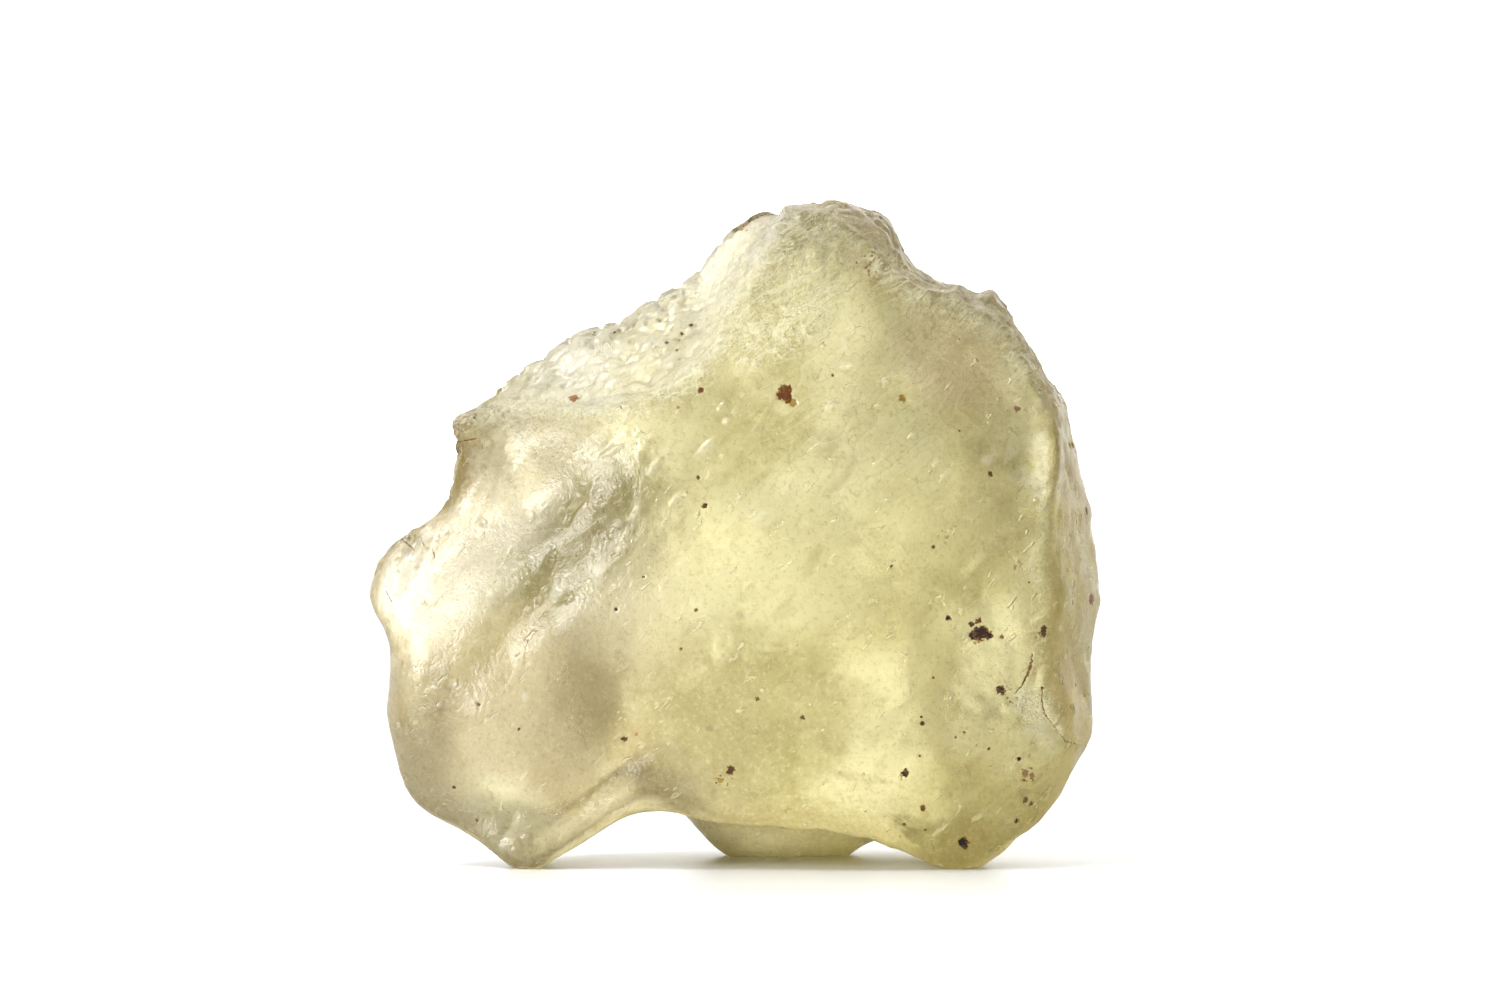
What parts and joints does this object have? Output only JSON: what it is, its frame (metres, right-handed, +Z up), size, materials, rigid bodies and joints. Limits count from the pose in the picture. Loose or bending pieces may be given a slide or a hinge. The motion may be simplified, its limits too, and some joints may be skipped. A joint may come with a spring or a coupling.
{
  "type": "libyan desert glass",
  "caption": "Free-standing hand specimen of pale yellow natural desert glass, a frosted, wind-worn lump with a notched outline.",
  "frame": {"origin": "on the surface that the specimen stands on, under the middle of its bounding box", "axes": "+Z up, +X along the width with the broad face seen upright, the broad face looks along -Y"},
  "size_m": [0.0508, 0.0246, 0.0461],
  "materials": {
    "glass": "frosted, wind-worn, pale yellow-green with tiny dark inclusions"
  },
  "bodies": {
    "root": {"desert_glass": "glass"}
  },
  "joints": []
}
